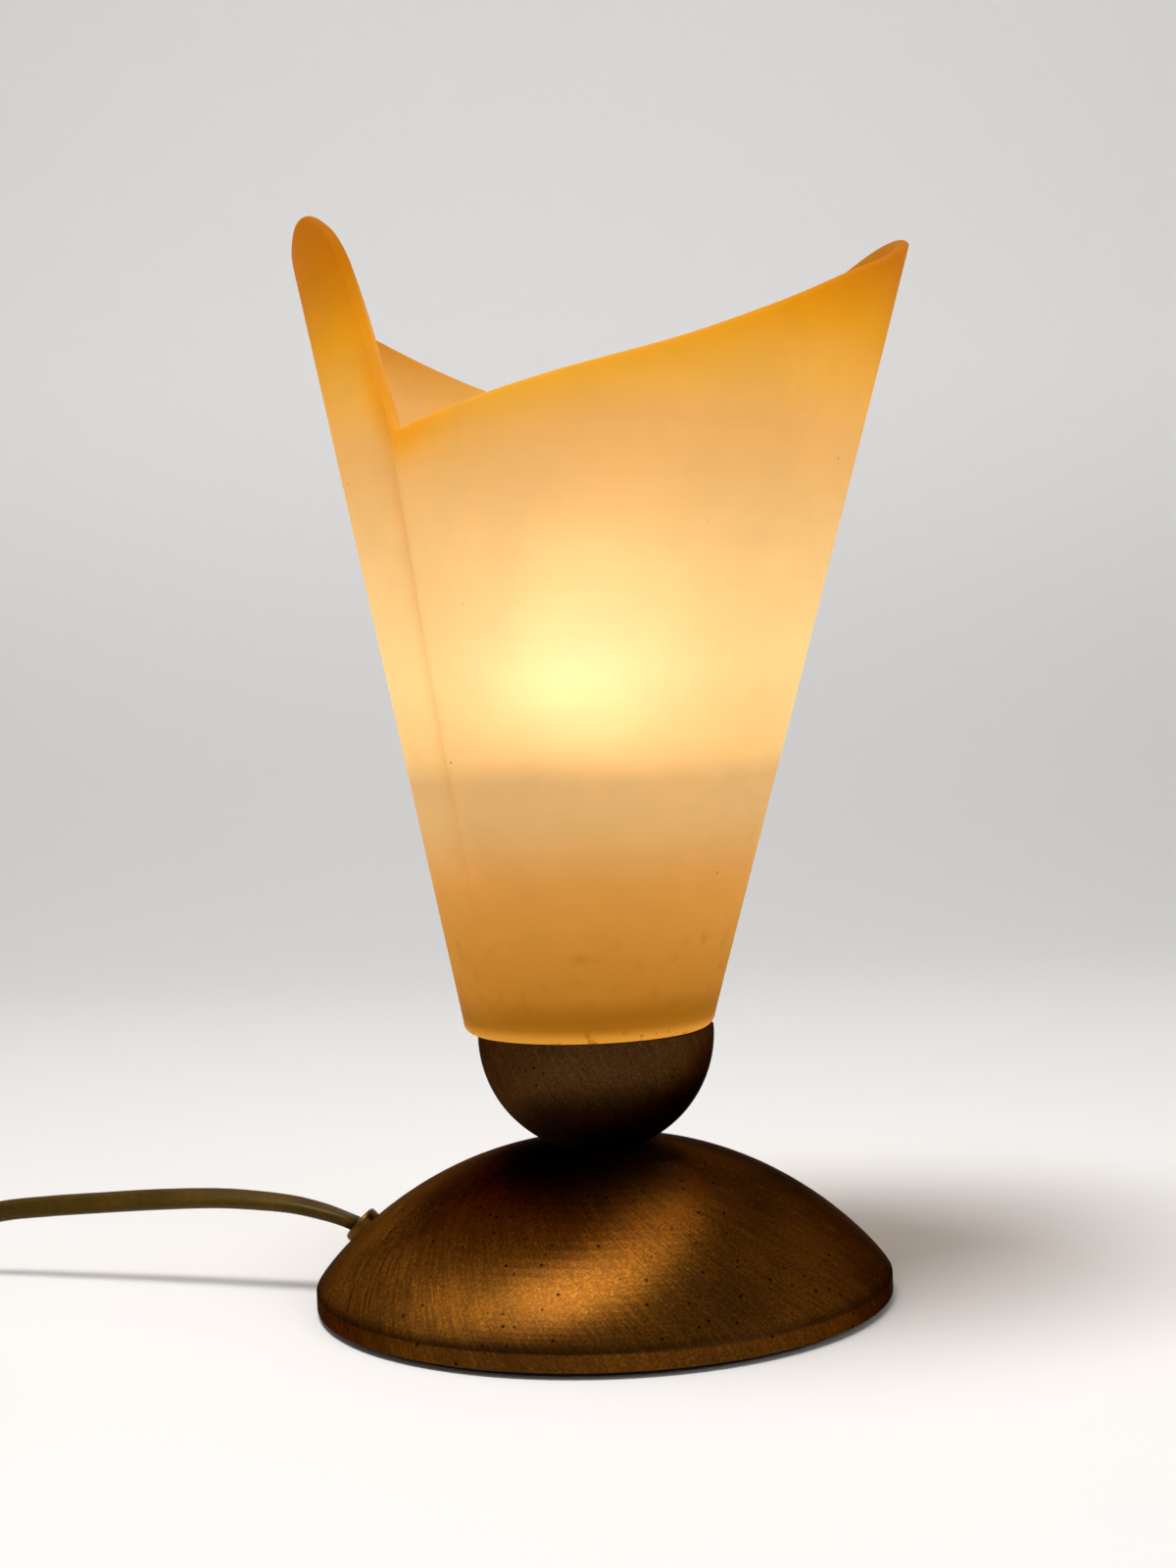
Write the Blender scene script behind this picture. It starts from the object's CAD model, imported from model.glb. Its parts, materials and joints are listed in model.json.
"""Looks of the table lamp: frosted glass shade, antique brass, flat cord, switch and plug."""
import json
import math

import bpy
import bmesh
from mathutils import Matrix, Vector
from mathutils.kdtree import KDTree


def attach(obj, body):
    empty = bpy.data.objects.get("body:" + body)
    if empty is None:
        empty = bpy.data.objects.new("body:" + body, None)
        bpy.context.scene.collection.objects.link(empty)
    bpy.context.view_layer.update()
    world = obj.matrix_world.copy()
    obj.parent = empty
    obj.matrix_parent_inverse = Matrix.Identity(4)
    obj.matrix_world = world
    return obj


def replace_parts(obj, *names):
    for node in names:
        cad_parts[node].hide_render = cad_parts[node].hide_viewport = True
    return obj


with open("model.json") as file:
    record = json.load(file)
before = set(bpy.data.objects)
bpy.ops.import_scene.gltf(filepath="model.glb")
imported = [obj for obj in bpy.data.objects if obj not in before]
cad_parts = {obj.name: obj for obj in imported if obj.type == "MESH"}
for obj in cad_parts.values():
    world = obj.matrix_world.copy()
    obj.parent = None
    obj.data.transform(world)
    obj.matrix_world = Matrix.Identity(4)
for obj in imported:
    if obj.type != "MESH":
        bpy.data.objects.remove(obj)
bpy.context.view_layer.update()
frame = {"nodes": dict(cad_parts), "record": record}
MM = 0.001


# Geometry helpers

def mix(a, b, t):
    return a + (b - a) * t


def clamp01(t):
    return max(0.0, min(1.0, t))


def ease(t):
    return t * t * (3 - 2 * t)


def mesh_piece(name, verts, faces, material):
    """A new object with smooth shading, from points in millimetres."""
    mesh = bpy.data.meshes.new(name)
    mesh.from_pydata([tuple(c * MM for c in v) for v in verts], [], faces)
    mesh.validate()
    bm = bmesh.new()
    bm.from_mesh(mesh)
    bmesh.ops.recalc_face_normals(bm, faces=bm.faces)
    bm.to_mesh(mesh)
    bm.free()
    mesh.polygons.foreach_set("use_smooth", [True] * len(mesh.polygons))
    mesh.materials.append(material)
    obj = bpy.data.objects.new(name, mesh)
    bpy.context.scene.collection.objects.link(obj)
    return obj


# Material helpers. Textures are measured in metres.

# Most of a noise lies between these
NOISE_LOW = 0.3
NOISE_HIGH = 0.7


def srgb(r, g, b):
    """A colour written as 0 to 255 on screen, as linear values."""
    def linear(c):
        c /= 255
        return c / 12.92 if c <= 0.04045 else ((c + 0.055) / 1.055) ** 2.4
    return (linear(r), linear(g), linear(b), 1.0)


def grey(level):
    return (level, level, level, 1.0)


WHITE = grey(1.0)


class Nodes:
    """A node tree, with short calls that add nodes and return sockets."""

    def __init__(self, tree):
        self.tree = tree

    def add(self, kind, inputs=(), **settings):
        node = self.tree.nodes.new("ShaderNode" + kind)
        for key, value in settings.items():
            setattr(node, key, value)
        self.put(node, inputs)
        return node

    def put(self, node, inputs):
        for key, value in dict(inputs).items():
            if isinstance(value, bpy.types.NodeSocket):
                self.tree.links.new(value, node.inputs[key])
            else:
                node.inputs[key].default_value = value

    def coords(self):
        return self.add("TexCoord").outputs["Object"]

    def attribute(self, name):
        return self.add("Attribute", attribute_name=name).outputs["Fac"]

    def split(self, vector):
        return self.add("SeparateXYZ", {0: vector}).outputs

    def join(self, x, y, z):
        return self.add("CombineXYZ", {0: x, 1: y, 2: z}).outputs[0]

    def vector(self, operation, a, b=(0.0, 0.0, 0.0)):
        return self.add("VectorMath", {0: a, 1: b}, operation=operation).outputs[0]

    def scaled(self, vector, scale):
        return self.vector("MULTIPLY", vector, scale)

    def distance(self, a, b):
        return self.add("VectorMath", {0: a, 1: b}, operation="DISTANCE").outputs["Value"]

    def math(self, operation, a, b=0.0):
        return self.add("Math", {0: a, 1: b}, operation=operation).outputs[0]

    def plus(self, a, b):
        return self.math("ADD", a, b)

    def times(self, a, b):
        return self.math("MULTIPLY", a, b)

    def total(self, *parts):
        """The sum of some values, each times its weight."""
        made = self.times(*parts[0])
        for part in parts[1:]:
            made = self.plus(made, self.times(*part))
        return made

    def noise(self, vector, scale, detail=3.0, rough=0.55, distortion=0.0):
        return self.add("TexNoise", {
            "Vector": vector, "Scale": scale, "Detail": detail, "Roughness": rough,
            "Distortion": distortion}).outputs["Fac"]

    def cells(self, vector, scale):
        return self.add("TexVoronoi", {"Vector": vector, "Scale": scale}).outputs["Distance"]

    def span(self, value, low, high, to_low=0.0, to_high=1.0, smooth=True):
        return self.add("MapRange", {
            "Value": value, "From Min": low, "From Max": high, "To Min": to_low, "To Max": to_high},
            interpolation_type="SMOOTHSTEP" if smooth else "LINEAR").outputs[0]

    def fall(self, value, low, high):
        """1 up to low, then smoothly down to 0 at high."""
        return self.span(value, low, high, 1.0, 0.0)

    def band(self, value, start, full, fading, end):
        """Smoothly up from 0 at start to 1 at full, and from fading down to 0 at end."""
        return self.times(self.span(value, start, full), self.fall(value, fading, end))

    def uneven(self, noise, low, high):
        """A value that wanders from low to high with a noise."""
        return self.span(noise, NOISE_LOW, NOISE_HIGH, low, high)

    def ramp(self, value, stops):
        node = self.add("ValToRGB", {0: value})
        elements = node.color_ramp.elements
        while len(elements) < len(stops):
            elements.new(0.5)
        for element, (place, colour) in zip(elements, stops):
            element.position = place
        for element, (place, colour) in zip(elements, stops):
            element.color = colour
        return node.outputs["Color"]

    def two_tone(self, noise, dark, light, low=NOISE_LOW, high=NOISE_HIGH):
        return self.ramp(noise, [(low, dark), (high, light)])

    def blend(self, factor, a, b, how="MIX"):
        node = self.add("Mix", {0: factor, 6: a, 7: b}, data_type="RGBA", blend_type=how)
        return node.outputs[2]

    def tint(self, factor, colour, by):
        return self.blend(factor, colour, by, "MULTIPLY")

    def bump(self, height, strength, distance):
        return self.add("Bump", {
            "Height": height, "Strength": strength, "Distance": distance}).outputs["Normal"]

    def seen(self):
        """1 for rays that show the background: seen directly, in metal or through glass."""
        path = self.add("LightPath").outputs
        direct = self.math("MAXIMUM", path["Is Camera Ray"], path["Is Glossy Ray"])
        return self.math("MAXIMUM", direct, path["Is Transmission Ray"])


class Graph(Nodes):
    """A new material's node tree."""

    def __init__(self, name):
        self.mat = bpy.data.materials.new(name)
        self.mat.use_nodes = True
        super().__init__(self.mat.node_tree)
        self.shader = self.tree.nodes["Principled BSDF"]

    def finish(self, **inputs):
        self.put(self.shader, {k.replace("_", " "): v for k, v in inputs.items()})
        return self.mat


# Plain materials

GRAIN_SHARE = 14


def moulded(name, dark, light, scale, rough, bump, metallic=0.0):
    """Cast or moulded stuff: mottled colour, uneven gloss and a grain finer by GRAIN_SHARE."""
    g = Graph(name)
    at = g.coords()
    broad = g.noise(at, scale, 4.0)
    fine = g.noise(at, scale * GRAIN_SHARE, 2.0)
    return g.finish(
        Base_Color=g.two_tone(broad, dark, light), Roughness=g.span(broad, 0.25, 0.75, *rough),
        Metallic=metallic, Normal=g.bump(fine, bump, 0.0003))


def brushed(name, dark, light, rough, scale=(30.0, 30.0, 900.0)):
    """Turned or drawn bright metal, with lines across the direction of the largest scale."""
    g = Graph(name)
    at = g.coords()
    lines = g.noise(g.scaled(at, scale), 1.0)
    stain = g.noise(at, 90.0)
    tone = g.total((lines, 0.4), (stain, 0.6))
    return g.finish(
        Base_Color=g.two_tone(tone, dark, light, 0.35, 0.65), Metallic=1.0,
        Roughness=g.uneven(lines, *rough), Normal=g.bump(lines, 0.08, 0.0002))


def felt():
    g = Graph("black_felt")
    fibre = g.noise(g.scaled(g.coords(), (1.0, 1.0, 0.4)), 1400.0, 5.0, 0.7, 1.5)
    return g.finish(
        Base_Color=g.two_tone(fibre, srgb(14, 12, 11), srgb(44, 40, 37)), Roughness=0.95,
        Sheen_Weight=0.25, Normal=g.bump(fibre, 0.6, 0.0004))


CORD_TONES = [(0.32, srgb(54, 38, 5)), (0.5, srgb(72, 52, 8)), (0.7, srgb(92, 67, 12))]


def cord_jacket():
    """Satin olive-gold sheath with a fine grain and handling marks."""
    g = Graph("cord_gold")
    at = g.coords()
    smear = g.noise(at, 45.0, 4.0, 0.6)
    fine = g.noise(at, 700.0, 3.0, 0.6)
    return g.finish(
        Base_Color=g.ramp(g.total((smear, 0.75), (fine, 0.25)), CORD_TONES),
        Roughness=g.uneven(smear, 0.36, 0.5), Specular_IOR_Level=0.2,
        Specular_Tint=(1.0, 0.8, 0.4, 1), Normal=g.bump(fine, 0.12, 0.0002))


SLEEVE_END = -0.134
SLEEVE_EDGE = 0.0001


def sleeved_pin():
    """Nickel pin with a plastic sleeve on the half next to the plug."""
    g = Graph("pin_nickel")
    at = g.coords()
    bare = g.fall(g.split(at)[1], SLEEVE_END - SLEEVE_EDGE, SLEEVE_END + SLEEVE_EDGE)
    lines = g.noise(g.scaled(at, (900.0, 30.0, 900.0)), 1.0)
    metal = g.two_tone(lines, srgb(178, 176, 170), srgb(214, 212, 206), 0.35, 0.65)
    sleeve = g.two_tone(g.noise(at, 300.0), srgb(52, 38, 14), srgb(66, 49, 20))
    return g.finish(
        Base_Color=g.blend(bare, sleeve, metal), Metallic=bare,
        Roughness=g.plus(g.span(bare, 0.0, 1.0, 0.4, 0.14), g.times(lines, 0.1)),
        Normal=g.bump(bare, 0.4, 0.0001))


# Antique brass. A stroke is its width and length.

STROKE_LEAN = math.radians(27)
FINE_STROKE = (0.0005, 0.010)
BROAD_STROKE = (0.0024, 0.028)
RIM_CREASE = (0.0050, 0.0056, 0.0058, 0.0078)
CREASE_BROWN = srgb(36, 22, 11)
PIT_BROWN = srgb(24, 14, 7)
TONE_STOPS = (0.38, 0.5, 0.62)
DOME_TONES = srgb(62, 37, 9), srgb(85, 50, 13), srgb(116, 70, 17)
CUP_TONES = srgb(56, 35, 16), srgb(76, 49, 23), srgb(100, 66, 31)
BRASS_EDGE = (0.1, 0.085, 0.07, 1)


def antique_brass(name, girth, rise, spread, tones, rough):
    """Dark patinated brass, brushed in slanting strokes, with small pits.

    Strokes are measured round the axis at the radius girth, and rise and spread turn height
    and distance from the axis into the way up the surface. tones are dark, middle and light,
    and rough is the least and most roughness.
    """
    g = Graph(name)
    at = g.coords()
    x, y, z = g.split(at)
    lean_c, lean_s = math.cos(STROKE_LEAN), math.sin(STROKE_LEAN)
    out = g.math("SQRT", g.plus(g.times(x, x), g.times(y, y)))
    around = g.times(g.math("ARCTAN2", x, g.times(y, -1.0)), girth)
    up = g.total((z, rise), (out, spread))
    across = g.total((around, lean_c), (up, lean_s))
    along = g.total((up, lean_c), (around, -lean_s))

    def strokes(width, length):
        place = g.join(g.times(across, 1 / width), g.times(along, 1 / length), 0.0)
        return g.noise(place, 1.0, 2.0, 0.5)

    fine = strokes(*FINE_STROKE)
    broad = strokes(*BROAD_STROKE)
    patina = g.noise(at, 30.0, 3.0, 0.5)
    grain = g.noise(at, 1500.0, 3.0, 0.65)
    tone = g.total((patina, 0.24), (broad, 0.1), (fine, 0.22), (grain, 0.44))
    pitted = g.span(g.noise(at, 90.0, 2.0), 0.43, 0.55)
    pit = g.times(g.fall(g.cells(at, 320.0), 0.08, 0.18), pitted)
    colour = g.ramp(tone, list(zip(TONE_STOPS, tones)))
    colour = g.blend(g.times(g.band(z, *RIM_CREASE), 0.55), colour, CREASE_BROWN)
    colour = g.blend(pit, colour, PIT_BROWN)
    gloss = g.plus(g.uneven(fine, *rough), g.uneven(patina, -0.02, 0.04))
    height = g.total((fine, 0.5), (pit, -0.8))

    surface = g.add("NewGeometry").outputs
    ring = g.vector("NORMALIZE", g.vector("CROSS_PRODUCT", (0.0, 0.0, 1.0), surface["Position"]))
    climb = g.vector("CROSS_PRODUCT", surface["Normal"], ring)
    glide = g.vector("ADD", g.scaled(ring, (lean_c,) * 3), g.scaled(climb, (lean_s,) * 3))
    return g.finish(
        Base_Color=colour, Metallic=1.0, Roughness=gloss, Specular_Tint=BRASS_EDGE,
        Anisotropic=0.86, Tangent=glide, Normal=g.bump(height, 0.06, 0.0002))


# Frosted glass and bulb. A band is the height where it starts, is full, fades and ends.

GLOW_FROM = 0.064
GLOW_TO = 0.258
GLASS_GLOW = [
    (0.067, srgb(170, 112, 28)), (0.071, srgb(160, 106, 20)), (0.077, srgb(192, 133, 46)),
    (0.088, srgb(204, 147, 60)), (0.102, srgb(214, 159, 80)), (0.118, srgb(221, 183, 124)),
    (0.127, srgb(219, 182, 124)), (0.133, srgb(242, 203, 136)), (0.150, srgb(245, 216, 148)),
    (0.178, srgb(238, 202, 140)), (0.205, srgb(228, 181, 108)), (0.214, srgb(230, 179, 82)),
    (0.228, srgb(220, 157, 26)), (0.244, srgb(197, 126, 0)), (0.257, srgb(186, 116, 0))]
CLOUD_SHIFT = 0.006
INNER_BAND = (0.185, 0.205, 0.222, 0.246)
INNER_PALE = srgb(232, 184, 120)
FRINGE_W = 0.015
FRINGE_TINT = (1.03, 0.95, 0.6, 1)
RIDGE_W = 0.006
RIDGE_TINT = (1.0, 0.97, 0.65, 1)
NOTCH_CORNER = (-0.0466, -0.0475, 0.2058)
CORNER_TINT = (1.0, 0.84, 0.3, 1)
FOLD_AMBER = srgb(214, 140, 50)
SMUDGE_BAND = (0.071, 0.076, 0.086, 0.098)
SMUDGE_BROWN = srgb(104, 66, 8)
SPECK_BROWN = srgb(70, 44, 10)
FOOT_EDGE = (0.0658, 0.0694)
FOOT_AMBER = srgb(236, 170, 66)
LIT_BAND = (0.12, 0.15, 0.152, 0.186)
LIT_BODY = srgb(244, 214, 180)
AMBER_GLOSS = (1.0, 0.75, 0.2, 1)


def glow_by_height(g, z, side, cloud):
    """The glass's glow by height with a cloudy edge, paler on the inner side below the tips."""
    cloudy = g.plus(z, g.times(g.math("SUBTRACT", cloud, 0.5), CLOUD_SHIFT))
    level = g.span(cloudy, GLOW_FROM, GLOW_TO, smooth=False)
    stops = [((height - GLOW_FROM) / (GLOW_TO - GLOW_FROM), colour) for height, colour in GLASS_GLOW]
    inner = g.times(g.span(side, 0.5, 1.0), g.band(z, *INNER_BAND))
    return g.blend(g.times(inner, 0.85), g.ramp(level, stops), INNER_PALE)


def amber_rim(g, at, side, glow):
    """The glow, deeper amber along the rim and in the notch's corner."""
    rim = g.attribute("rim_gap")
    outer = g.fall(side, 0.1, 0.6)
    fringe = g.times(g.fall(rim, 0.0, FRINGE_W), g.span(outer, 0.0, 1.0, 0.3, 1.0))
    ridge = g.times(g.fall(rim, 0.0, RIDGE_W), outer)
    near_corner = g.fall(g.distance(at, NOTCH_CORNER), 0.006, 0.03)
    corner = g.times(near_corner, g.fall(rim, 0.001, 0.009))
    glow = g.tint(fringe, glow, FRINGE_TINT)
    glow = g.tint(ridge, glow, RIDGE_TINT)
    return g.tint(corner, glow, CORNER_TINT)


def glass_marks(g, at, z, cloud, glow):
    """The glow with the fold's soft line, mottling, smudges low down, specks and a chipped foot edge."""
    glow = g.blend(g.times(g.attribute("fold_line"), 0.34), glow, FOLD_AMBER)
    streak = g.noise(g.scaled(at, (18.0, 18.0, 260.0)), 1.0, 3.0, 0.5)
    mottle = g.total((cloud, 0.7), (streak, 0.3))
    glow = g.tint(1.0, glow, g.two_tone(mottle, (0.93, 0.92, 0.9, 1), WHITE))
    smudge = g.times(g.span(g.noise(at, 220.0, 0.0), 0.6, 0.9), g.band(z, *SMUDGE_BAND))
    glow = g.blend(g.times(smudge, 0.27), glow, SMUDGE_BROWN)
    speck = g.span(g.cells(at, 70.0), 0.014, 0.034, 0.6, 0.0)
    glow = g.blend(speck, glow, SPECK_BROWN)
    chips = g.span(g.noise(at, 330.0, 2.0), 0.6, 0.66, 1.0, 0.25)
    return g.blend(g.times(g.fall(z, *FOOT_EDGE), chips), glow, FOOT_AMBER)


def frosted_glass():
    """Satin glass, lit from inside. The glow stands for the light that it scatters within itself."""
    g = Graph("amber_glass")
    at = g.coords()
    z = g.split(at)[2]
    side = g.attribute("glass_side")
    cloud = g.noise(at, 26.0, 4.0, 0.6, 0.3)
    glow = glow_by_height(g, z, side, cloud)
    glow = amber_rim(g, at, side, glow)
    glow = glass_marks(g, at, z, cloud, glow)
    body = g.blend(g.times(g.band(z, *LIT_BAND), 0.6), glow, LIT_BODY)
    frost = g.noise(at, 38.0, 4.0, 0.6, 0.8)
    body = g.tint(1.0, body, g.two_tone(frost, grey(0.4), grey(0.5)))
    grain = g.noise(at, 900.0, 2.0)
    return g.finish(
        Base_Color=body, Roughness=0.9, IOR=1.4, Transmission_Weight=0.8, Specular_IOR_Level=0.08,
        Specular_Tint=AMBER_GLOSS, Emission_Color=glow, Emission_Strength=0.55,
        Normal=g.bump(grain, 0.05, 0.0002))


BULB_FROM = 0.136
BULB_TO = 0.196
BULB_GLOW = [(0.0, (0.44, 0.32, 0.31, 1)), (0.35, (0.42, 0.305, 0.295, 1)), (1.0, (0.22, 0.15, 0.12, 1))]


def opal_bulb():
    """Lit opal dome, brightest low down where the chips are."""
    g = Graph("bulb_glow")
    at = g.coords()
    level = g.span(g.split(at)[2], BULB_FROM, BULB_TO, smooth=False)
    haze = g.noise(at, 60.0)
    glow = g.tint(1.0, g.ramp(level, BULB_GLOW), g.two_tone(haze, grey(0.9), WHITE))
    return g.finish(
        Base_Color=glow, Roughness=0.35, Emission_Color=glow, Emission_Strength=14.0,
        Normal=g.bump(haze, 0.03, 0.0004))


# Materials, one for each slot of the record

# Dark and light colour, scale of the mottling, roughness, bump, and metallic where it isn't 0
MOULDED = {
    "cast_iron": (srgb(52, 52, 54), srgb(78, 78, 80), 120.0, (0.55, 0.75), 0.5, 0.9),
    "wire_brown": (srgb(96, 50, 26), srgb(118, 64, 34), 80.0, (0.4, 0.5), 0.1),
    "white_nylon": (srgb(214, 211, 202), srgb(230, 228, 220), 90.0, (0.4, 0.55), 0.1),
    "holder_white": (srgb(214, 210, 200), srgb(234, 231, 222), 90.0, (0.35, 0.5), 0.1),
    "holder_ceramic": (srgb(208, 203, 190), srgb(226, 221, 210), 150.0, (0.6, 0.75), 0.3),
    "black_vitrite": (srgb(10, 10, 12), srgb(24, 24, 28), 160.0, (0.12, 0.22), 0.06),
    "bulb_white": (srgb(218, 218, 214), srgb(236, 236, 232), 80.0, (0.28, 0.4), 0.08),
    "board_white": (srgb(222, 222, 216), srgb(240, 240, 234), 200.0, (0.4, 0.5), 0.1),
    "gold_plastic": (srgb(112, 85, 34), srgb(132, 102, 46), 60.0, (0.3, 0.42), 0.12),
    "rocker_gold": (srgb(98, 74, 30), srgb(118, 90, 40), 70.0, (0.26, 0.36), 0.1),
    "tie_black": (srgb(16, 16, 16), srgb(34, 34, 34), 120.0, (0.45, 0.6), 0.3)}
# Dark and light colour, roughness, and the lines' scale where it isn't the usual one
BRUSHED = {
    "zinc_steel": (srgb(172, 172, 168), srgb(206, 206, 200), (0.25, 0.4)),
    "gland_brass": (srgb(70, 45, 14), srgb(106, 72, 25), (0.26, 0.4), (500.0, 500.0, 60.0)),
    "bright_brass": (srgb(186, 142, 66), srgb(222, 180, 98), (0.2, 0.34)),
    "bulb_nickel": (srgb(178, 176, 170), srgb(212, 210, 204), (0.16, 0.3))}
MATERIALS = {
    "black_felt": felt(),
    "antique_brass": antique_brass(
        "antique_brass", girth=0.05, rise=0.75, spread=-0.75, tones=DOME_TONES, rough=(0.34, 0.4)),
    "cord_gold": cord_jacket(),
    "amber_glass": frosted_glass(),
    "bulb_glow": opal_bulb(),
    "pin_nickel": sleeved_pin()}
MATERIALS.update({slot: moulded(slot, *look) for slot, look in MOULDED.items()})
MATERIALS.update({slot: brushed(slot, *look) for slot, look in BRUSHED.items()})

for row in frame["record"]["subparts"]:
    node = frame["nodes"][row["node"]]
    node.data.materials.clear()
    node.data.materials.append(MATERIALS[row["material_slot"]])
frame["nodes"]["shade_cup"].data.materials[0] = antique_brass(
    "cup_brass", girth=0.028, rise=0.9, spread=0.3, tones=CUP_TONES, rough=(0.42, 0.48))


# Rounded edges of the moulded plastic: the even mesh's cells in millimetres, and rounds of smoothing

SOFT_EDGES = {
    "switch_lower": (0.5, 4), "switch_upper": (0.5, 5), "switch_rocker": (0.35, 3), "plug_body": (0.5, 7)}

for name, (cell, rounds) in SOFT_EDGES.items():
    stack = frame["nodes"][name].modifiers
    even = stack.new("even_mesh", "REMESH")
    even.mode = "VOXEL"
    even.voxel_size = cell * MM
    even.use_smooth_shade = True
    soft = stack.new("soft_edges", "SMOOTH")
    soft.factor = 0.5
    soft.iterations = rounds


# Camera, where the photograph was taken: turned down and rolled a little

CAMERA_AT = (0.18 * MM, -527.24 * MM, 139.25 * MM)
CAMERA_PITCH = 0.027
CAMERA_ROLL = -0.035
FOCAL_PX = 2210.26
IMAGE = (1200, 1600)

cam_data = bpy.data.cameras.new("camera")
cam_data.sensor_width = 36.0
cam_data.lens = FOCAL_PX / max(IMAGE) * cam_data.sensor_width
cam_data.clip_start = 0.01
cam_data.clip_end = 50.0
camera = bpy.data.objects.new("camera", cam_data)
bpy.context.scene.collection.objects.link(camera)
camera.matrix_world = (
    Matrix.Translation(CAMERA_AT) @ Matrix.Rotation(math.pi / 2 - CAMERA_PITCH, 4, "X")
    @ Matrix.Rotation(CAMERA_ROLL, 4, "Z"))
bpy.context.scene.camera = camera


# Cord: the source's routes, smoothed through their points. A point is x, y, z and a turn in degrees.

CORD_W = 5.4
CORD_T = 3.4
SECTION_SIDES = 20
EDGE_POWER = 0.72
FACE_POWER = 0.8
GROOVE_DEPTH = 0.22
GROOVE_W = 0.7
GLAND_EXIT = (-61.567, 10.856, 16.94)
LAMP_ROUTE = [
    GLAND_EXIT + (0,),
    (-63.9, 11.3, 17.9, 0), (-67.2, 11.9, 19.1, 5), (-70.8, 12.8, 20.1, 12), (-77.5, 14.8, 21.4, 20),
    (-88, 18, 22.2, 32), (-98.5, 21.5, 22.3, 44), (-114, 26.5, 21.4, 58), (-130.5, 31.5, 20, 72),
    (-145, 36, 18.6, 82), (-158.5, 40, 16.8, 90), (-172, 43.5, 13.1, 90), (-184, 44.8, 8.7, 90),
    (-196, 42.4, 5.4, 90), (-205, 36.3, 4, 90), (-210.6, 27.5, 3.6, 90), (-212, 18, 4.1, 125),
    (-212, 10, 4.7, 165), (-212, 4, 4.7, 180), (-212, -1, 4.7, 180)]
FEED_ROUTE = [
    (-212, -45, 4.7, 0), (-212, -54, 4.7, 8), (-212, -62, 4.4, 30), (-212, -70, 4.2, 60),
    (-212, -78, 4, 85), (-212, -84.6, 4, 90)]
TAIL_ROUTE = [
    (-138, -84.6, 10.1, 90), (-138, -79, 10.1, 90), (-139.7, -69.6, 11.4, 90),
    (-144.4, -62.4, 13, 90), (-151.6, -57.7, 14.1, 90), (-160, -56, 15.2, 90),
    (-168.4, -57.7, 16.6, 90), (-175.6, -62.4, 18.2, 75), (-180.3, -69.6, 19.6, 45),
    (-182, -75, 20.2, 15), (-182, -80, 20.2, 0)]
ROUTE_STEP = 2.0
COIL_AT = (-175, -90)
COIL_R = 37
COIL_TURNS = 3.5
CLIMB_TURNS = 0.5
COIL_Z = 4.0
TURN_PITCH = CORD_T + 0.6
LAYER_PITCH = CORD_W + 0.7
CLIMB_DIP = 2.0
TURN_ROUND = 0.25
COIL_STEPS = 48


def coil_point(t):
    """A point of the coil after t turns: in on the lower layer, a climb, and out on the upper one."""
    middle = COIL_TURNS + CLIMB_TURNS / 2
    climb = ease(clamp01((t - COIL_TURNS) / CLIMB_TURNS))
    dip = CLIMB_DIP * math.sin(math.pi * clamp01(t - middle + 0.5)) ** 2
    r = COIL_R - TURN_PITCH * (math.hypot(middle, TURN_ROUND) - math.hypot(t - middle, TURN_ROUND)) - dip
    a = math.pi + 2 * math.pi * t
    return (COIL_AT[0] + r * math.cos(a), COIL_AT[1] + r * math.sin(a), COIL_Z + LAYER_PITCH * climb, 90)


def smooth_route(route):
    """A Catmull-Rom curve through the route's points, with a point about every ROUTE_STEP."""
    made = []
    for k in range(len(route) - 1):
        p = [route[max(k - 1, 0)], route[k], route[k + 1], route[min(k + 2, len(route) - 1)]]
        gaps = [max(1e-6, math.dist(p[i][:3], p[i + 1][:3])) for i in range(3)]
        n = max(1, round(gaps[1] / ROUTE_STEP))
        for i in range(n):
            t = i / n
            row = []
            for c in range(4):
                m0 = m1 = p[2][c] - p[1][c]
                if k > 0:
                    m0 = (p[2][c] - p[0][c]) / (gaps[0] + gaps[1]) * gaps[1]
                if k + 2 < len(route):
                    m1 = (p[3][c] - p[1][c]) / (gaps[1] + gaps[2]) * gaps[1]
                row.append(mix(p[1][c], p[2][c], ease(t)) + t * (1 - t) * (m0 * (1 - t) - m1 * t))
            made.append(tuple(row))
    made.append(tuple(route[-1]))
    return made


def cord_section():
    """Flat twin section: two round edges, and faces that dip slightly between the cores."""
    made = []
    for i in range(SECTION_SIDES):
        a = 2 * math.pi * i / SECTION_SIDES
        c, s = math.cos(a), math.sin(a)
        x = math.copysign(abs(c) ** EDGE_POWER, c) * CORD_W / 2
        y = math.copysign(abs(s) ** FACE_POWER, s) * CORD_T / 2
        on_face = abs(s) > 0.2
        dip = GROOVE_DEPTH * math.exp(-(x / GROOVE_W) ** 2) if on_face else 0.0
        made.append((x, y - math.copysign(dip, s)))
    return made


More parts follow.
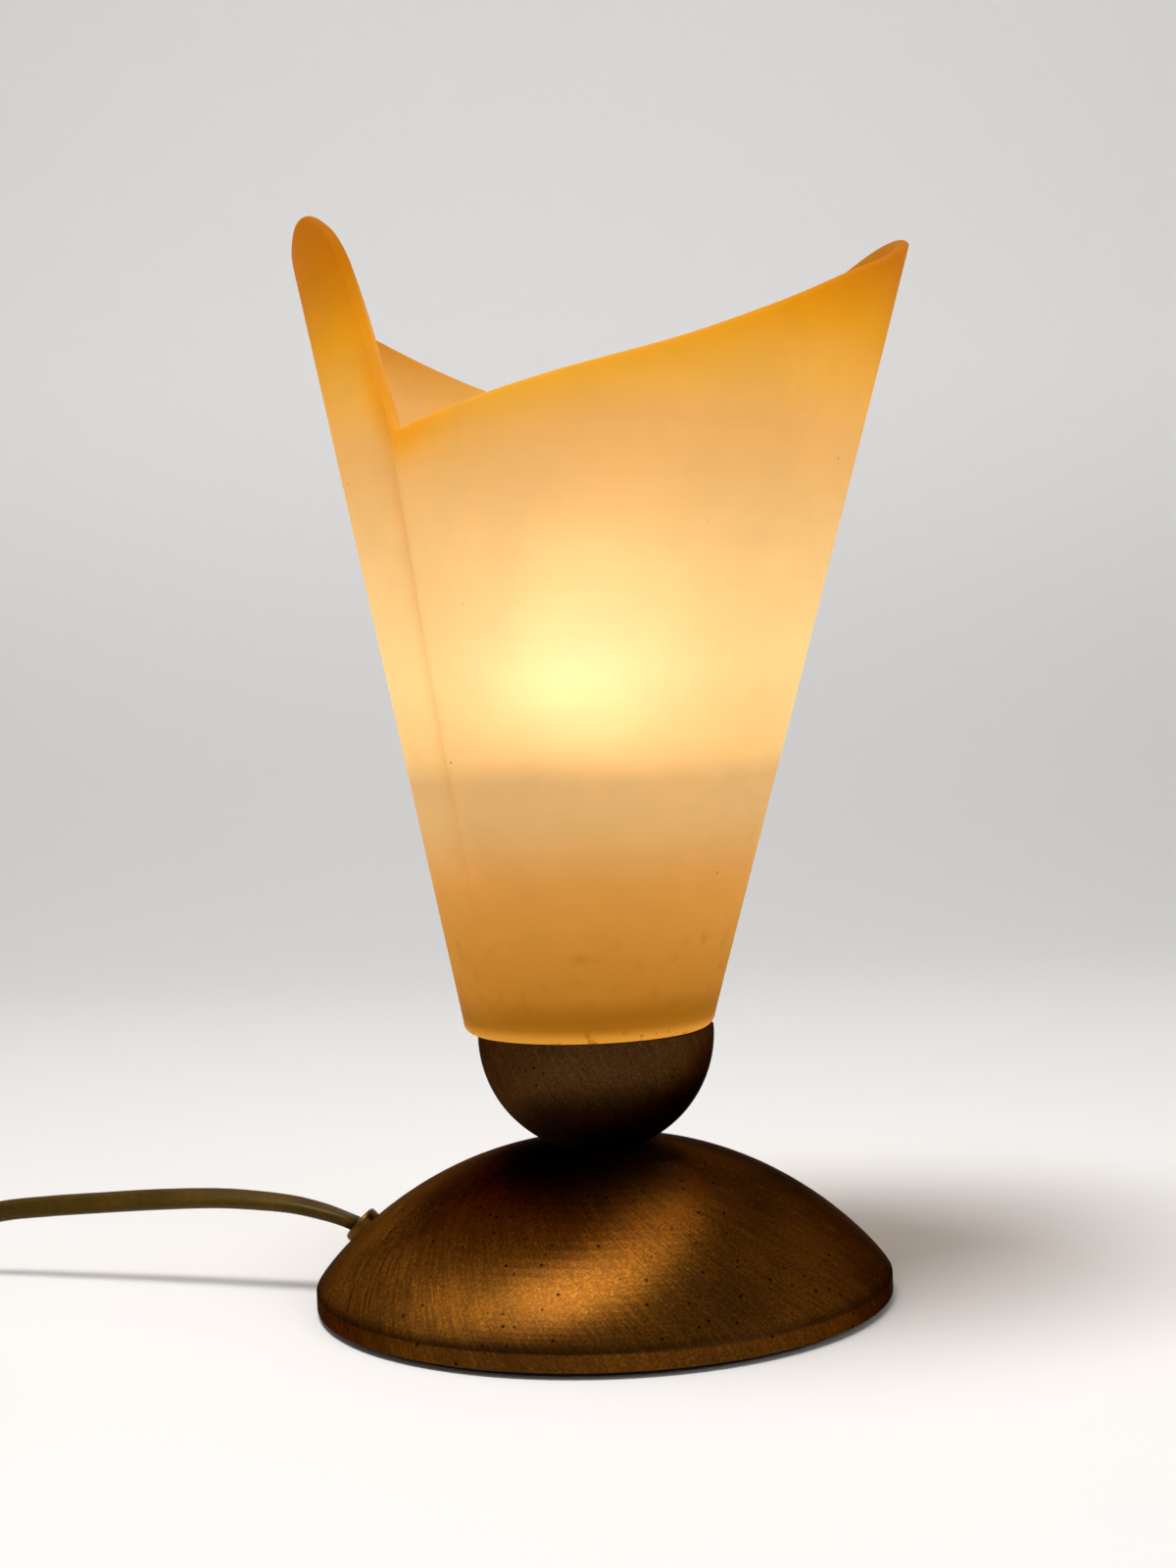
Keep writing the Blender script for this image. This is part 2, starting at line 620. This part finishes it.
def sweep_mesh(route, section):
    """Points and faces of the section carried along the route, closed at both ends."""
    verts, faces = [], []
    n = len(section)
    for k, p in enumerate(route):
        a, b = route[max(k - 1, 0)], route[min(k + 1, len(route) - 1)]
        run = (Vector(b[:3]) - Vector(a[:3])).normalized()
        side = run.cross(Vector((0, 0, 1))).normalized()
        up = side.cross(run)
        turn = math.radians(p[3])
        wide = side * math.cos(turn) + up * math.sin(turn)
        thin = up * math.cos(turn) - side * math.sin(turn)
        verts += [tuple(Vector(p[:3]) + wide * u + thin * v) for u, v in section]
        if k:
            low, high = (k - 1) * n, k * n
            faces += [(low + i, low + (i + 1) % n, high + (i + 1) % n, high + i) for i in range(n)]
    faces.append(tuple(range(n)))
    faces.append(tuple(reversed(range(len(verts) - n, len(verts)))))
    return verts, faces


def cord_piece(name, route):
    verts, faces = sweep_mesh(route, cord_section())
    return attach(mesh_piece(name, verts, faces, MATERIALS["cord_gold"]), "lamp")


coil_rings = round((2 * COIL_TURNS + CLIMB_TURNS) * COIL_STEPS)
lead_line = smooth_route(LAMP_ROUTE)
coil_line = [coil_point(i / COIL_STEPS) for i in range(coil_rings + 1)]
end_line = smooth_route(FEED_ROUTE) + coil_line + smooth_route(TAIL_ROUTE)

lead = cord_piece("cord_lead", lead_line)
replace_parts(lead, "lamp_cord")

tail = cord_piece("cord_end", end_line)
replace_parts(tail, "coil_feed", "cord_coil", "cord_tail")


# Shade: the source's formula with finer steps. Azimuths run once round from the notch.

FOOT_Z = 65.545
FOOT_R = 30.0
FLARE = math.radians(13.3)
LEAN = math.radians(2.85)
FOOT_SHIFT = 1.6
GLASS_T = 3.2
GLASS_IN = GLASS_T / math.cos(FLARE)
FLOOR_T = 4.0
FOOT_ROUND = 3.0
INNER_CORNER = 2.0
HOLE_R = 14.5
NOTCH_AZ = 227
NOTCH_H, RIGHT_H, VALLEY_H, LEFT_H = 140.5, 191.0, 156.0, 192.0
RIM = [
    (NOTCH_AZ, NOTCH_H), (258, mix(NOTCH_H, RIGHT_H, 0.16)), (284, mix(NOTCH_H, RIGHT_H, 0.3)),
    (304, mix(NOTCH_H, RIGHT_H, 0.46)), (330, mix(NOTCH_H, RIGHT_H, 0.7)), (375, RIGHT_H),
    (395, mix(RIGHT_H, VALLEY_H, 0.17)), (440, VALLEY_H), (507, mix(VALLEY_H, LEFT_H, 0.55)),
    (551, mix(VALLEY_H, LEFT_H, 0.9)), (563, LEFT_H), (570, mix(LEFT_H, NOTCH_H, 0.06)),
    (574.5, mix(LEFT_H, NOTCH_H, 0.18)), (577.5, mix(LEFT_H, NOTCH_H, 0.45)),
    (579.3, mix(LEFT_H, NOTCH_H, 0.7)), (581, mix(LEFT_H, NOTCH_H, 0.85)), (NOTCH_AZ + 360, NOTCH_H)]
FOLD_STEP = 3.0
FOLD_AZ = NOTCH_AZ + 353
FOLD_RUN = 7
GROOVE_SHARE = 0.35
GROOVE_RUN = 12
BULGE_RUN = 50
FOLD_START = 12
FOLD_RISE = 80
FOLD_TOP = 160
FOLD_SINK_RUN = 30
FOLD_SINK = 0.7
FOLD_LINE_W = 3.2
FOLD_LINE_START = 20
FOLD_LINE_RISE = 60
WALL_ROWS = 44
FOOT_ARC = range(0, 90, 15)
LIP_ARC = range(-60, 61, 20)
RIM_STEPS = 7200
# Columns of the mesh: where they start after the notch, their step in degrees and their count
COLUMNS = [(0, 2, 165), (330, 1, 20), (350, 0.5, 20)]


def rim_slope(i):
    def pitch(k):
        return (RIM[k + 1][1] - RIM[k][1]) / (RIM[k + 1][0] - RIM[k][0])
    last = len(RIM) - 1
    if i == 0:
        return pitch(0)
    if i == last:
        return pitch(last - 1)
    if pitch(i - 1) * pitch(i) <= 0:
        return 0.0
    return (RIM[i + 1][1] - RIM[i - 1][1]) / (RIM[i + 1][0] - RIM[i - 1][0])


def rim_height(az):
    i = 0
    while i < len(RIM) - 2 and az >= RIM[i + 1][0]:
        i += 1
    d = RIM[i + 1][0] - RIM[i][0]
    t = (az - RIM[i][0]) / d
    return (RIM[i][1] * (1 - ease(t)) + RIM[i + 1][1] * ease(t)
            + d * t * (1 - t) * (rim_slope(i) * (1 - t) - rim_slope(i + 1) * t))


def fold_share(az):
    """The fold round the shade: a groove before it, a step outwards, and a bulge that dies away."""
    step = ease(clamp01((az - FOLD_AZ) / FOLD_RUN))
    groove = -GROOVE_SHARE * math.exp(-max(0, FOLD_AZ - az) / GROOVE_RUN)
    bulge = math.exp(-(az - NOTCH_AZ) / BULGE_RUN)
    return mix(groove + bulge, 1, step)


def fold_fade(h):
    """The fold up the shade: from nothing near the foot, and less again towards the tips."""
    sink = FOLD_SINK * ease(clamp01((h - FOLD_TOP) / FOLD_SINK_RUN))
    return ease(clamp01((h - FOLD_START) / FOLD_RISE)) * (1 - sink)


def wall_r(az, h):
    return FOOT_R + h * math.tan(FLARE) + FOLD_STEP * fold_fade(h) * fold_share(az)


def glass_point(az, r, h):
    a = math.radians(az)
    return (h * math.tan(LEAN) - FOOT_SHIFT + r * math.cos(a), r * math.sin(a), FOOT_Z + h)


def hole_point(az, h):
    a = math.radians(az)
    return (HOLE_R * math.cos(a), HOLE_R * math.sin(a), FOOT_Z + h)


def glass_column(az):
    """One column of the glass from the hole's lower edge out, up, over the rim and back in.

    It gives each point with its height above the foot.
    """
    top, lip = rim_height(az), GLASS_T / 2
    col = [(hole_point(az, 0), 0)]
    for b in FOOT_ARC:
        s, c = math.sin(math.radians(b)), math.cos(math.radians(b))
        h = FOOT_ROUND * (1 - c)
        col.append((glass_point(az, wall_r(az, FOOT_ROUND) - FOOT_ROUND * (1 - s), h), h))
    for i in range(WALL_ROWS + 1):
        h = mix(FOOT_ROUND, top - lip, i / WALL_ROWS)
        col.append((glass_point(az, wall_r(az, h), h), h))
    for b in LIP_ARC:
        s, c = math.sin(math.radians(b)), math.cos(math.radians(b))
        h = top - lip * (1 - c)
        col.append((glass_point(az, wall_r(az, top) - GLASS_IN * (0.5 + 0.5 * s), h), h))
    for i in range(WALL_ROWS, -1, -1):
        h = mix(FLOOR_T + INNER_CORNER, top - lip, i / WALL_ROWS)
        col.append((glass_point(az, wall_r(az, h) - GLASS_IN, h), h))
    col.append((glass_point(az, wall_r(az, FLOOR_T) - GLASS_IN - INNER_CORNER, FLOOR_T), FLOOR_T))
    col.append((hole_point(az, FLOOR_T), FLOOR_T))
    return col


def rim_tree():
    """Points along both edges of the rim, to measure distances from it."""
    tree = KDTree(2 * RIM_STEPS)
    for i in range(RIM_STEPS):
        az = NOTCH_AZ + 360 * i / RIM_STEPS
        top = rim_height(az)
        for k, inset in enumerate((0.0, GLASS_IN)):
            tree.insert(glass_point(az, wall_r(az, top) - inset, top - 0.4 * GLASS_T), 2 * i + k)
    tree.balance()
    return tree


def shade_piece():
    """The shade, with what its material reads: distance from the rim, the fold's line and the side.

    The side is 0 on the outer face and 1 on the inner one.
    """
    azimuths = [NOTCH_AZ + start + step * i for start, step, count in COLUMNS for i in range(count)]
    verts, faces, gaps, folds, sides = [], [], [], [], []
    edges = rim_tree()
    for az in azimuths:
        line = math.exp(-((az - FOLD_AZ - 1.0) / FOLD_LINE_W) ** 2)
        for point, h in glass_column(az):
            verts.append(point)
            gaps.append(edges.find(point)[2] * MM)
            folds.append(line * ease(clamp01((h - FOLD_LINE_START) / FOLD_LINE_RISE)))
            out = math.hypot(point[0] - glass_point(0, 0, h)[0], point[1])
            sides.append(clamp01((wall_r(az, h) - out) / GLASS_IN))
    m = len(azimuths)
    n = len(verts) // m
    for j in range(m):
        here, after = j * n, (j + 1) % m * n
        for i in range(n):
            up = (i + 1) % n
            faces.append((here + i, here + up, after + up, after + i))
    obj = mesh_piece("shade", verts, faces, MATERIALS["amber_glass"])
    for name, values in (("rim_gap", gaps), ("fold_line", folds), ("glass_side", sides)):
        obj.data.attributes.new(name, "FLOAT", "POINT").data.foreach_set("value", values)
    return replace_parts(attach(obj, "lamp"), "glass_shade")


shade_piece()


# Stage: a pale sweep, soft lamps and a plain world, in metres

METRE = 1000
STAGE_FRONT = -4.0
STAGE_SIDE = 5.0
STAGE_TOP = 4.0
BEND_AT = 0.7
BEND_R = 0.8
BEND_STEPS = 12
STAGE_DROP = 0.05
SEEN_PALE = (0.9, 0.89, 0.88, 1)
STAGE_GLOW = (1, 0.99, 0.97, 1)


def stage_sweep():
    """Floor that turns up into a backdrop. Where it is seen, it glows a little far from the lamps."""
    profile = [(STAGE_FRONT, 0.0), (BEND_AT, 0.0)]
    for i in range(1, BEND_STEPS + 1):
        a = math.pi / 2 * i / BEND_STEPS
        profile.append((BEND_AT + BEND_R * math.sin(a), BEND_R * (1 - math.cos(a))))
    profile.append((BEND_AT + BEND_R, STAGE_TOP))
    verts = [(x * METRE, y * METRE, z * METRE - STAGE_DROP)
             for y, z in profile for x in (-STAGE_SIDE, STAGE_SIDE)]
    faces = [(2 * k, 2 * k + 1, 2 * k + 3, 2 * k + 2) for k in range(len(profile) - 1)]
    g = Graph("stage_pale")
    at = g.coords()
    x, y, z = g.split(at)
    seen = g.seen()
    pale = g.two_tone(g.noise(at, 6.0), (0.74, 0.73, 0.72, 1), (0.77, 0.76, 0.75, 1))
    away = g.math("MAXIMUM", g.math("ABSOLUTE", x), g.times(y, -1.0))
    rise = g.math("MAXIMUM", g.span(z, 0.02, 0.5, 0.0, 0.16), g.span(away, 0.9, 3.2, 0.0, 0.2))
    mat = g.finish(
        Base_Color=g.blend(seen, pale, SEEN_PALE), Roughness=0.85,
        Emission_Color=STAGE_GLOW, Emission_Strength=g.times(seen, rise))
    mesh_piece("stage_sweep", verts, faces, mat)


def area_light(name, at, to, size, power):
    data = bpy.data.lights.new(name, "AREA")
    data.shape = "RECTANGLE"
    data.size = data.size_y = size
    data.energy = power
    obj = bpy.data.objects.new(name, data)
    bpy.context.scene.collection.objects.link(obj)
    obj.location = at
    obj.rotation_euler = (Vector(to) - Vector(at)).to_track_quat("-Z", "Y").to_euler()


def plain_world(level, seen_level):
    """Even light of one level from all round, seen as a background of another."""
    world = bpy.data.worlds.new("world")
    bpy.context.scene.world = world
    world.use_nodes = True
    g = Nodes(world.node_tree)
    colour = g.blend(g.seen(), grey(level), grey(seen_level))
    g.put(g.tree.nodes["Background"], {"Color": colour})


stage_sweep()
area_light("key", at=(-0.21, -0.20, 1.38), to=(0, -0.03, 0.05), size=0.5, power=16.0)
area_light("fill", at=(1.0, -1.0, 0.8), to=(0, 0, 0.1), size=0.8, power=2.5)
plain_world(level=0.25, seen_level=0.45)

bpy.context.scene.view_settings.view_transform = "Standard"
